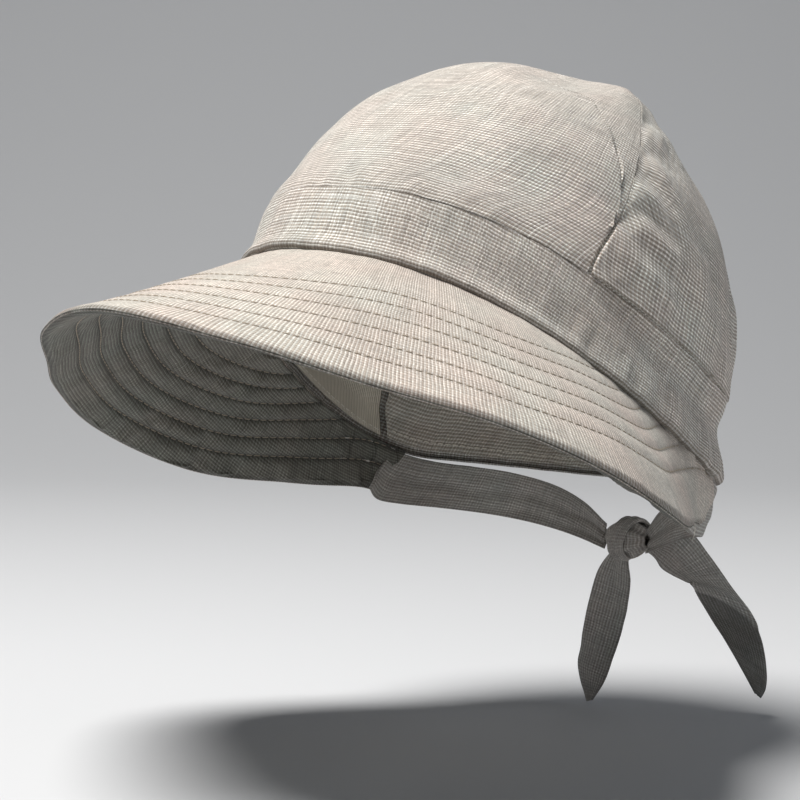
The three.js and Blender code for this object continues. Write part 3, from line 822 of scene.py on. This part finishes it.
def quilt(D, T, under):
    """Cloth of the brim between its stitch rows: sunk at each row, full and puckered between them."""
    e = edge_distance(D, T)
    along = D * 2.6
    shift = row_shift(D)
    near = np.full(D.shape, 1e9)
    for i, r in enumerate(ROWS):
        near = np.minimum(near, np.abs(e - (r + shift)))
    side = smooth(25, 70, np.abs(D))
    amp = (0.85 + 0.85 * side) if under else (0.30 + 0.18 * side)
    w = amp * (1 - np.exp(-near / 1.7) if under else 1 - np.exp(-(near / 2.2) ** 1.4)) - 0.15
    lane = np.floor((e - shift - ROWS[0]) / 9.5)
    pucker = noise(along / (6.5 if under else 5.2) + lane * 7.7, e / 9, 41 if under else 42)
    far = smooth(40, 78, -D)
    w = w + (0.40 + 0.35 * side + 0.35 * far if under else 0.15) * pucker * smooth(0.0, 3.5, near)
    # the tunnels of the outer strip, and its gathers towards the ends
    out = 1 - smooth(6, 16, e - shift)
    w = w + out * ((0.55 + 0.9 * far) if under else 0.18) * side * noise(along / 5.2, e / 26, 43) * 1.2
    # pleats beside the crown at each end of the brim
    ends = smooth(93, 99, np.abs(D)) * (1 - smooth(0.45, 0.85, T))
    ph = (np.abs(D) * 0.155 + 0.25 * T) % 1.0
    w = w + (-0.8 if under else 1.0) * ends * (1.5 * smooth(0.0, 0.9, ph) - 1.5 * smooth(0.9, 1.0, ph))
    w = w + (0.3 if under else 0.6) * noise(along / 60, e / 45, 45) * smooth(0, 25, e)
    # mask for painted shade in the pleat creases
    crease_shade = ends * np.exp(-(np.minimum(np.abs(ph - 0.97), ph + 0.03) / 0.05) ** 2)
    return w, e, near, crease_shade


def brim_layer(name, under, mat):
    nt, nc = 190, 860
    D, T = brim_grid(nt, nc)
    base = brim(D, inset(D, T))
    n0 = brim_normal(D, inset(D, T))
    w, e, near, crease_shade = quilt(D, T, under)
    mid = -1.4 + 2.8 * T
    # the edge turns over in a round lip to the seam along the middle of the rim
    lip = 3.0
    x = np.clip(1 - e / lip, 0, 1)
    drop = 1.75 * (1 - np.sqrt(np.maximum(1 - x * x, 0)))
    w = w * smooth(0, 3.0, e)
    off = (mid - 1.4 - w + drop) if under else (mid + 1.4 + w - drop)
    P = base + n0 * off[..., None]
    uv = np.stack([D * 2.8 + 400, T * tab(BRIM_W, D)], -1)
    like = -n0 if under else n0
    N = grid_normals(P, like)
    thick = 0.65 * (1 - 0.5 * x)
    # Painted shade: darker along each stitch row's groove, on the rim's lip where it turns down, and in the pleat
    # creases.
    shade = (1 - 0.2 * np.exp(-(near / 0.8) ** 2)) * (1 - 0.48 * (1 - smooth(1.0, 3.4, e))) * (1 - 0.4 * crease_shade)
    # The underside gets more painted shade along its rows and is painted darker all over.
    if under:
        shade = shade * (1 - 0.35 * np.exp(-(near / 1.5) ** 2)) * 0.92
    V, F, W, S = sheet_mesh(P, N, thick, uv, False, shade)
    return put(name, V, F, W, mat, S), (D, T, P, N, e)


def brim_rows(name, data, under, mat, rows=ROWS, radius=0.22, length=2.7, gap=0.8):
    D, T, P, N, e = data
    parts = []
    for k, r in enumerate(rows):
        # a dense line along the row: for each column, the place where the edge distance is the row's own
        line, nrm = [], []
        for c in range(P.shape[1]):
            want = r + (row_shift(D[:, c]) if len(rows) > 1 else 0 * T[:, c])
            f = e[:, c] - want
            j = np.nonzero((f[:-1] > 0) & (f[1:] <= 0))[0]
            if not len(j) or T[j[0], c] < 0.03:
                if len(line) > 20:
                    v, q = stitches(np.array(line), np.array(nrm), length, gap, radius)
                    parts.append((v, q))
                line, nrm = [], []
                continue
            j = j[0]
            g = f[j] / (f[j] - f[j + 1])
            line.append(P[j, c] * (1 - g) + P[j + 1, c] * g)
            nrm.append(N[j, c])
        if len(line) > 20:
            parts.append(stitches(np.array(line), np.array(nrm), length, gap, radius))
    V, F = merge(parts)
    return put(name, V, F, np.zeros((len(V), 2)), mat)


def brim_core():
    D, T = brim_grid(24, 160)
    T = 0.02 + 0.90 * T
    D = D * 0.985
    base = brim(D, T) + brim_normal(D, T) * (-1.4 + 2.8 * T)[..., None]
    n0 = brim_normal(D, T)
    P = base + n0 * 0.35
    V, F, W, S = sheet_mesh(P, n0, 0.7, np.stack([D * 2.4, T * 90], -1))
    return put("brim_interlining_core", V, F, W, M_CORE)


# ---------------------------------------------------------------- inside of the crown
def inner_strip(name, a0, a1, nc, s0, s1, nr, off, thick, mat, ripple=0.0, wave=5.0, seed=60, flare=0.0):
    deg = np.linspace(a0, a1, nc)
    s = np.broadcast_to(np.linspace(s0, s1, nr)[:, None], (nr, nc))
    D = np.broadcast_to(deg, s.shape)
    n0 = crown_normal(D, s)
    B = crown(D, s)
    along = arc(B, 1)
    x = (s - s0) / (s1 - s0)
    w = off + np.minimum(band_relief((D + 180) % 360 - 180, s), 0) + ripple * noise(along / wave, x * 1.5, seed) * (0.4 + 0.6 * np.sin(np.pi * x)) - flare * x
    P = B + n0 * w[..., None]
    N = grid_normals(P, n0)
    V, F, W, S = sheet_mesh(P, N, thick, np.stack([along, x * 25], -1))
    return put(name, V, F, W, mat), (P, N)


def tape_piece():
    # follows the cross seam, 12 mm wide, on the inside
    line = CROSS[4:-4]
    along = np.concatenate([[0], np.cumsum(np.linalg.norm(np.diff(line, axis=0), axis=-1))])
    at = np.linspace(0, along[-1], 260)
    c = np.stack([np.interp(at, along, line[:, i]) for i in range(3)], -1)
    t = unit(np.gradient(c, axis=0))
    half_n = np.concatenate([crown_normal(np.array([DEG_X]), np.array([BAND])), crown_normal(half, half_lev)])
    nor = np.concatenate([half_n, (half_n * [-1, 1, 1])[::-1][1:]])[4:-4]
    nor = unit(np.stack([np.interp(at, along, nor[:, i]) for i in range(3)], -1))
    side = unit(np.cross(t, nor))
    outward = unit(np.cross(side, t))
    outward = outward * np.sign((outward * nor).sum(-1, keepdims=True))
    rows = []
    for x in np.linspace(-6, 6, 9):
        rows.append(c + side * x - outward * (3.0 + 0.020 * x * x))
    P = np.stack(rows, 0)
    P = P + outward[None] * 0.12 * noise(at[None] / 6, np.linspace(0, 1, 9)[:, None] * 2, 71)[..., None]
    N = grid_normals(P, np.broadcast_to(outward, P.shape))
    V, F, W, S = sheet_mesh(P, N, 0.5, np.stack([np.broadcast_to(at, (9, 260)), np.broadcast_to(np.linspace(0, 12, 9)[:, None], (9, 260))], -1))
    return put("crown_tape_cloth", V, F, W, M_TAPE), (P, N)


# ---------------------------------------------------------------- tie
STRAP_UP = np.array([[79.3, 48.8, -29.8], [72.5, 59.5, -33.0], [62.0, 70.5, -34.8], [48.5, 81.5, -37.2], [33.5, 90.5, -41.5], [20.5, 96.5, -48.5], [10.8, 99.8, -57.2]])
STRAP_LOW = np.array([[80.9, 32.8, -47.8], [76.0, 46.0, -50.5], [66.5, 60.5, -52.5], [53.0, 74.5, -55.0], [37.5, 86.0, -58.5], [23.0, 94.0, -63.0], [10.8, 98.8, -67.8]])
TAIL_L_LOW = np.array([[7.5, 108.0, -70.0], [10.5, 109.5, -74.8], [14.6, 112, -77.8], [18.7, 115, -80.2], [22.0, 117, -81.8], [23.0, 123, -89.9], [27.8, 126, -99.1], [34.6, 126, -107.6], [42.6, 125, -117.1], [49.0, 124, -124.6]])
TAIL_L_UP = np.array([[10.5, 107.5, -58.0], [19.5, 115.0, -57.8], [26.8, 122, -69.4], [35.5, 126, -82.1], [44.5, 128, -92.7], [46.7, 131, -100.4], [49.4, 131, -108.5], [51.9, 129, -116.4], [52.9, 127, -122.8], [52.1, 124.6, -126.7]])
TAIL_R_IN = np.array([[-4, 106, -72.5], [-3.5, 107.5, -82], [-5, 108, -92], [-8, 107.5, -103], [-11, 106, -114], [-14.5, 104.5, -125], [-20, 103.5, -134.5]])
TAIL_R_OUT = np.array([[-11.5, 105.5, -68.5], [-20, 107, -77], [-25.5, 108.5, -88], [-28.5, 108.5, -99.5], [-30, 107.5, -111], [-30, 106, -122], [-23, 104, -135.5]])
KNOT = np.array([0, 100.5, -62.5])


def resample(line, n, sharp=None):
    """A smooth line through the points, n samples in all."""
    m = len(line)
    x = np.linspace(0, m - 1, n)
    i = np.clip(np.floor(x).astype(int), 0, m - 2)
    t = (x - i)[:, None]
    ext = np.concatenate([[2 * line[0] - line[1]], line, [2 * line[-1] - line[-2]]])
    return crom(ext[i], ext[i + 1], ext[i + 2], ext[i + 3], t)


def strip(name, low, up, n, across, thick, mat, wrinkle, turned=None):
    a, b = resample(np.asarray(low, float), n), resample(np.asarray(up, float), n)
    v = np.linspace(0, 1, across)
    P = a[None] * (1 - v[:, None, None]) + b[None] * v[:, None, None]
    n0 = unit(np.cross(np.gradient(P, axis=1), np.gradient(P, axis=0)))
    mid = 0.5 * (a + b)
    along = np.concatenate([[0], np.cumsum(np.linalg.norm(np.diff(mid, axis=0), axis=-1))])
    width = np.linalg.norm(b - a, axis=-1)
    A = np.broadcast_to(along, P.shape[:2])
    X = np.broadcast_to(v[:, None], P.shape[:2])
    w = wrinkle(A, X, along[-1], width)
    P = P + n0 * w[..., None]
    under = np.zeros(P.shape[:2])
    if turned is not None:
        # past the turning line the strip is tucked behind itself and shows its other face
        a0, b0, behind = turned
        t = np.clip(((P - a0) * unit(b0 - a0)).sum(-1) / np.linalg.norm(b0 - a0), 0, 1)
        s = ((P - a0) * unit(np.cross(b0 - a0, behind))).sum(-1)
        s = s * np.sign(unit(np.cross(b0 - a0, behind))[2]) * -1 - 3.0 * (4 * t * (1 - t)) * -1
        under = smooth(-0.2, 0.9, s)
        P = P + behind * (2.4 * under * (1 - smooth(4, 26, s)))[..., None] - behind * (1.2 * np.exp(-((s + 1.2) / 1.5) ** 2))[..., None]
    N = grid_normals(P, n0)
    # flat tube of cloth: rounded long edges
    e = np.minimum(X, 1 - X) * width[None]
    r = np.clip(1 - e / 1.2, 0, 1)
    half = thick / 2 * np.sqrt(np.maximum(1 - r * r, 0.02)) + 0.02
    outer = P + N * half[..., None]
    uv = np.stack([A, X * width.mean()], -1)
    # Painted shade: darker along the rolled long edges and on the tucked-under part past the turning line.
    shade = (1 - 0.2 * np.exp(-(e / 0.8) ** 2)) * (1 - 0.42 * under)
    V, F, W, S = sheet_mesh(outer, N, 2 * half, uv, False, shade)
    return put(name, V, F, W, mat, S), (P, N, along, width)


def strap_wrinkle(A, X, total, width):
    f = A / total
    pleat = 0.9 * np.sin(X * 15.0 + 1.5 * noise(A / 14, 0, 81)) * (0.30 + 0.7 * np.abs(f - 0.45) / 0.55) * 0.55
    return pleat + 0.9 * noise(A / 17, X * 2.2, 82) + 0.35 * noise(A / 6, X * 4, 83) + 1.6 * np.sin(np.pi * X) * (0.4 + 0.6 * f) - 0.6


def tail_wrinkle(A, X, total, width):
    f = A / total
    return 0.7 * noise(A / 14, X * 2, 84) + 0.25 * noise(A / 5.5, X * 5, 85) + (1 - smooth(0, 0.35, f)) * 0.9 * np.sin(X * 13 + 0.6)


def knot_piece():
    """The knot: a wrapped turn of the tie with the two straps entering from either side."""
    out_v, out_f, out_w, k = [], [], [], 0
    # the core: pleated cloth from side to side
    nu, nv = 70, 90
    x = np.linspace(-1, 1, nu)
    th = np.linspace(0, 2 * np.pi, nv + 1)[:-1]
    X, TH = np.meshgrid(x, th, indexing="ij")
    r = (1 - np.abs(X) ** 2.6 * 0.62)
    pleat = 1 + 0.09 * np.sin(7 * TH + 1.5 * X + 0.8 * np.sin(3 * X)) + 0.05 * noise(X * 3, TH * 2.2, 91)
    core = np.stack([X * 10.4, 6.6 * r * pleat * np.cos(TH), 7.4 * r * pleat * np.sin(TH)], -1)
    # the turn round it, slanted
    ny = 34
    y = np.linspace(-1, 1, ny)
    Y, TH2 = np.meshgrid(y, th, indexing="ij")
    rr = 1.02 + 0.17 * (1 - np.abs(Y) ** 2.5)
    fold = 1 + 0.035 * np.sin(Y * 9 + 1.0 * np.sin(TH2)) + 0.03 * noise(Y * 2.5, TH2 * 1.6, 92)
    slant = 2.6 * np.sin(TH2 + 0.5)
    turn = np.stack([Y * (5.0 + 0.8 * np.cos(TH2)) + slant, 6.9 * rr * fold * np.cos(TH2), 7.9 * rr * fold * np.sin(TH2)], -1)
    for G, par in ((core, X), (turn, Y)):
        G = G + KNOT
        like = G - KNOT
        like[..., 0] *= 0.2
        N = grid_normals(G, like, True)
        c = np.broadcast_to(th, G.shape[:2])
        uv = np.stack([c * 7.5, par * 9 + 20], -1)
        V, F, W, S = sheet_mesh(G, N, 0.9, uv, True)
        out_v.append(V)
        out_f += [[int(i) + k for i in f] for f in F]
        out_w.append(W)
        k += len(V)
    return put("tie_knot_cloth", np.concatenate(out_v), out_f, np.concatenate(out_w), M_TIE_PAINTED_SHADE)


# ---------------------------------------------------------------- build and attach
def attach(o, body, node):
    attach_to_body(o, body)
    if node:
        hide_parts(node)
    return o


front = attach(crown_front(), "root", "crown_front_panel")
back = attach(crown_back(), "root", "crown_back_panel")
band = attach(crown_band_piece(), "root", "crown_band")
top, top_data = brim_layer("brim_top_cloth", False, M_BRIM)
attach(top, "root", "brim_top_layer")
under, under_data = brim_layer("brim_under_cloth", True, M_UNDER_PAINTED_SHADE)
attach(under, "root", "brim_under_layer")
core = attach(brim_core(), "root", "brim_interlining")
top_rows = attach(brim_rows("brim_stitches_top", top_data, False, M_THREAD), "root", None)
under_rows = attach(brim_rows("brim_stitches_under", under_data, True, M_THREAD), "root", None)
sweat, sweat_data = inner_strip("sweatband_ribbon", -111, 111, 420, 0.012, 0.19, 16, -1.9, 0.6, M_SWEAT, 0.25, 9.0, 61, 0.5)
attach(sweat, "root", "sweatband")
elastic, _ = inner_strip("nape_elastic_braid", 113.5, 246.5, 300, 0.06, 0.15, 10, -2.0, 0.7, M_ELASTIC, 0.25, 4.0, 62)
attach(elastic, "root", "nape_elastic")
casing, casing_data = inner_strip("nape_casing_cloth", 112.5, 247.5, 640, 0.012, 0.19, 26, -3.3, 0.6, M_LINING, 1.0, 3.4, 63)
attach(casing, "root", "nape_casing")
tape, _ = tape_piece()
attach(tape, "root", "crown_seam_tape")
knot = attach(knot_piece(), "root", "tie_knot")
STRAP_UP = np.concatenate([[[80.8, 41.5, -27.0]], STRAP_UP])
STRAP_LOW = np.concatenate([[[79.6, 25.0, -42.5]], STRAP_LOW])
strap_l, strap_l_data = strip("tie_strap_left_cloth", STRAP_LOW, STRAP_UP, 160, 34, 1.2, M_TIE_PAINTED_SHADE, strap_wrinkle)
attach(strap_l, "root", "tie_strap_left")
mx = np.array([-1.0, 1, 1])
strap_r, _ = strip("tie_strap_right_cloth", STRAP_LOW * mx, STRAP_UP * mx, 160, 34, 1.2, M_TIE_PAINTED_SHADE, lambda A, X, t, w: -strap_wrinkle(A + 40, X, t + 0, w) * 1.0)
attach(strap_r, "root", "tie_strap_right")
root_l = KNOT + np.array([3.0, 3.5, 0.5])
tail_l, _ = strip("tie_tail_left_cloth", np.concatenate([[root_l + [0, 0, -3.5]], TAIL_L_LOW]), np.concatenate([[root_l + [0, 0, 3.5]], TAIL_L_UP]), 210, 60, 1.2, M_TIE_PAINTED_SHADE, tail_wrinkle,
                  (np.array([21.0, 118.0, -83.5]), np.array([46.5, 130.5, -99.0]), np.array([-0.66757, 0.74109, -0.07174])))
root_r = KNOT + np.array([-1.5, 2.0, -3.5])
tail_r, _ = strip("tie_tail_right_cloth", np.concatenate([[root_r + [3.0, 0, 0]], TAIL_R_IN]), np.concatenate([[root_r + [-3.0, 0, 0]], TAIL_R_OUT]), 170, 34, 1.2, M_TIE_PAINTED_SHADE, tail_wrinkle)
for o, body, a, b in ((tail_l, "tail_left", (0.004, 0.104, -0.0625), (0.016, 0.112, -0.066)), (tail_r, "tail_right", (-0.004, 0.103, -0.066), (-0.010, 0.1065, -0.080))):
    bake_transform(o)
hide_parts("tie_tail_left")
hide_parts("tie_tail_right")
# a loose end of sewing thread at the rear tip of the brim, wearer's left
tip = top_data[2][-1, -12]
line = tip + np.stack([0.6 * np.sin(np.linspace(0, 3, 14)) - 0.3 * np.linspace(0, 1, 14), np.linspace(0, -1.2, 14), -0.4 - 6.2 * np.linspace(0, 1, 14)], -1)
v, f = tube(line, 0.13, 5)
attach(put("loose_thread", v, f, np.zeros((len(v), 2)), M_THREAD_PALE), "root", None)
# stitching inside: the sweatband's lower row and the casing's two rows
P, N = sweat_data
v, f = stitches(P[1] - N[1] * 0.6, -N[1], 2.6, 0.9, 0.22)
attach(put("sweatband_stitches", v, f, np.zeros((len(v), 2)), M_THREAD_PALE), "root", None)
P, N = casing_data
v, f = merge([stitches(P[i] - N[i] * 0.6, -N[i], 2.4, 0.8, 0.22) for i in (3, 22)])
attach(put("casing_stitches", v, f, np.zeros((len(v), 2)), M_THREAD_PALE), "root", None)


# ---------------------------------------------------------------- floor and light
def backdrop():
    """A pale floor that sweeps up behind the hat."""
    a = math.atan2(-BACK[1], -BACK[0])
    prof = [(-3.0, 0.0), (-1.5, 0.0), (0.0, 0.0), (1.0, 0.0)]
    for k in range(1, 25):
        t = k / 24 * math.pi / 2
        prof.append((1.0 + 1.4 * math.sin(t), 1.4 * (1 - math.cos(t))))
    prof += [(2.4, 2.6), (2.4, 4.5)]
    V, F = [], []
    for x, z in prof:
        for y in (-5.0, 5.0):
            V.append((x * math.cos(a) - y * math.sin(a), x * math.sin(a) + y * math.cos(a), z - 0.1372))
    for i in range(len(prof) - 1):
        F.append((2 * i, 2 * i + 1, 2 * i + 3, 2 * i + 2))
    me = bpy.data.meshes.new("floor")
    me.from_pydata(V, [], F)
    me.polygons.foreach_set("use_smooth", np.ones(len(me.polygons), bool))
    k = Nodes("floor_paper")
    k.bsdf.inputs["Base Color"].default_value = (*lin(216, 217, 219), 1)
    k.bsdf.inputs["Roughness"].default_value = 0.9
    k.bsdf.inputs["Specular IOR Level"].default_value = 0.1
    me.materials.append(k.mat)
    o = bpy.data.objects.new("floor", me)
    bpy.context.scene.collection.objects.link(o)
    return o


def area_light(name, at, size, power, colour=(1, 1, 1)):
    d = bpy.data.lights.new(name, "AREA")
    d.shape = "DISK"
    d.size = size
    d.energy = power
    d.color = colour
    o = bpy.data.objects.new(name, d)
    bpy.context.scene.collection.objects.link(o)
    at = Vector(at)
    o.location = at
    o.rotation_mode = "QUATERNION"
    o.rotation_quaternion = (Vector((0, 0, 0)) - at).to_track_quat("-Z", "Y")
    return o


floor = backdrop()
R_, U_, B_ = (np.array(v) for v in (RIGHT, UP, BACK))
key = area_light("key", (-R_ * 0.50 + U_ * 1.55 + B_ * 0.42), 0.8, 41, (1.0, 0.985, 0.96))
fill = area_light("fill", (-R_ * 1.3 + U_ * 0.3 + B_ * 1.6), 1.6, 2.2, (0.93, 0.96, 1.0))
rim = area_light("side", (R_ * 1.6 + U_ * 0.5 + B_ * 0.2), 1.2, 3, (0.9, 0.95, 1.0))
world = bpy.data.worlds.new("studio")
bpy.context.scene.world = world
world.use_nodes = True
world.node_tree.nodes["Background"].inputs[0].default_value = (0.80, 0.86, 0.95, 1)
world.node_tree.nodes["Background"].inputs[1].default_value = 0.09
bpy.context.scene.view_settings.view_transform = "Standard"
